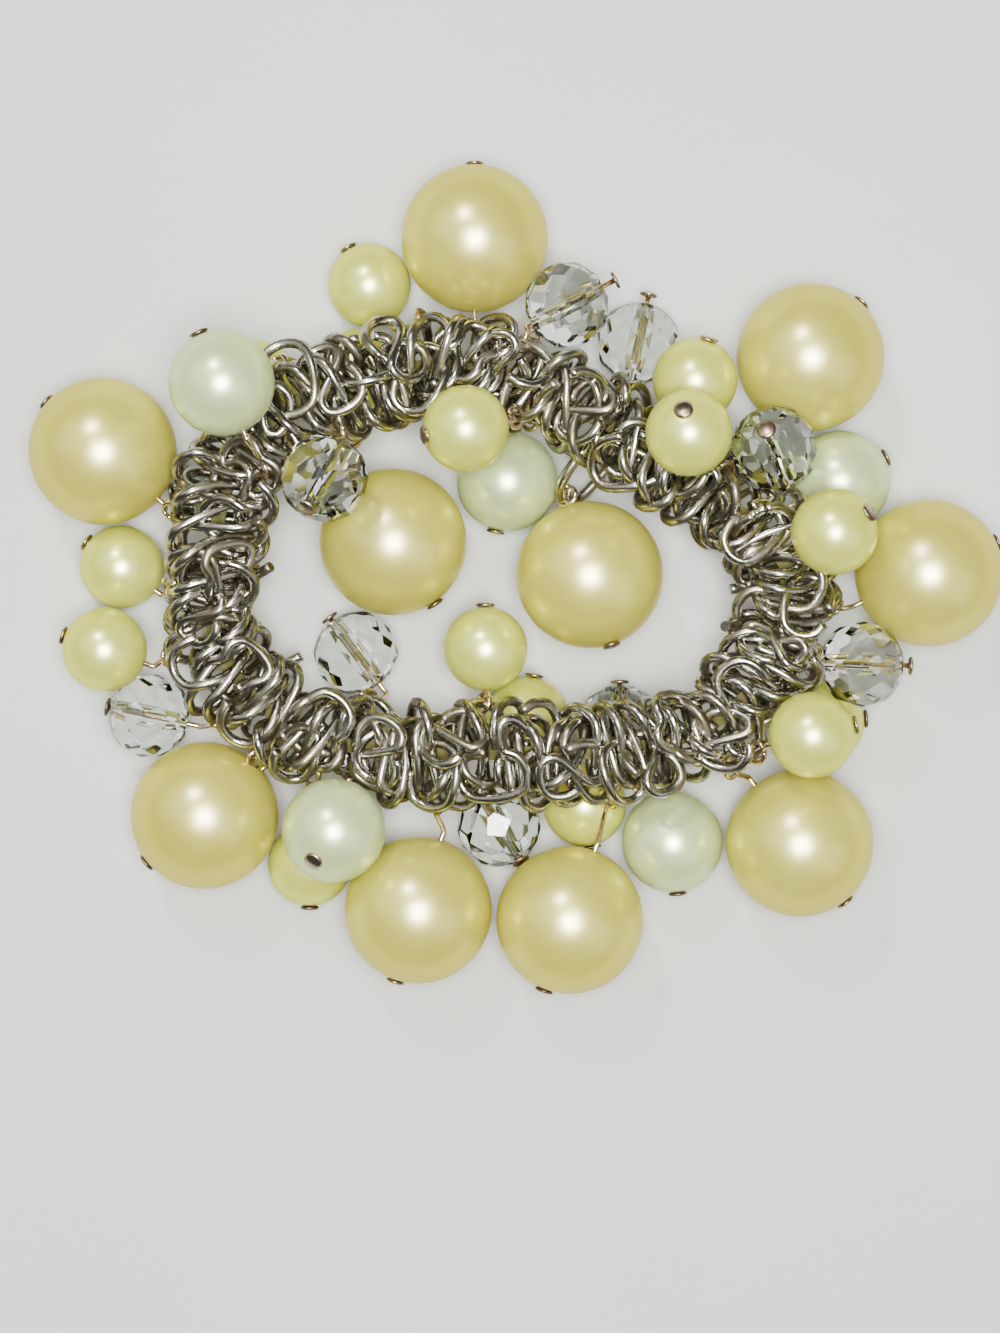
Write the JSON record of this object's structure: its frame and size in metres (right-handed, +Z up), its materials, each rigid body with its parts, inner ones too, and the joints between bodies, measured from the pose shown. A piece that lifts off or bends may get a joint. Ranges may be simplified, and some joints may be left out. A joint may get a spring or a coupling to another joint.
{
  "type": "pearl bracelet",
  "caption": "Charm bracelet of round pearls and faceted clear crystals on head pins, hooked to bent wire links on a flat elastic, lying on its side as a whole loop.",
  "frame": {"origin": "the middle of the bracelet's bounding box, on the table it lies on", "axes": "+X along the loop's long way, to the picture's right; +Y to the picture's top; +Z up from the table"},
  "size_m": [0.093, 0.0802, 0.0218],
  "materials": {
    "cream_pearl": "cream pearl coat on a glass core, soft sheen with a golden rim",
    "white_pearl": "pale greenish white pearl coat on a glass core",
    "yellow_pearl": "yellow cream pearl coat on a glass core",
    "crystal": "clear faceted glass, polished",
    "aged_wire": "silver-coloured wire with brown and olive tarnish",
    "elastic": "matt olive-yellow elastic"
  },
  "bodies": {
    "root": {"large_pearl_1": "cream_pearl", "large_pearl_2": "cream_pearl", "large_pearl_3": "cream_pearl", "large_pearl_4": "cream_pearl", "large_pearl_5": "cream_pearl", "large_pearl_6": "cream_pearl", "large_pearl_7": "cream_pearl", "large_pearl_8": "cream_pearl", "large_pearl_9": "cream_pearl", "large_pearl_10": "cream_pearl", "white_pearl_1": "white_pearl", "white_pearl_2": "white_pearl", "white_pearl_3": "white_pearl", "white_pearl_4": "white_pearl", "white_pearl_5": "white_pearl", "small_pearl_1": "yellow_pearl", "small_pearl_2": "yellow_pearl", "small_pearl_3": "yellow_pearl", "small_pearl_4": "yellow_pearl", "small_pearl_5": "yellow_pearl", "small_pearl_6": "yellow_pearl", "small_pearl_7": "yellow_pearl", "small_pearl_8": "yellow_pearl", "small_pearl_9": "yellow_pearl", "small_pearl_10": "yellow_pearl", "small_pearl_11": "yellow_pearl", "small_pearl_12": "yellow_pearl", "small_pearl_13": "yellow_pearl", "small_pearl_14": "yellow_pearl", "small_pearl_15": "yellow_pearl", "crystal_1": "crystal", "crystal_2": "crystal", "crystal_3": "crystal", "crystal_4": "crystal", "crystal_5": "crystal", "crystal_6": "crystal", "crystal_7": "crystal", "crystal_8": "crystal", "crystal_9": "crystal", "crystal_10": "crystal", "links_and_head_pins": "aged_wire", "elastic": "elastic"}
  },
  "joints": []
}
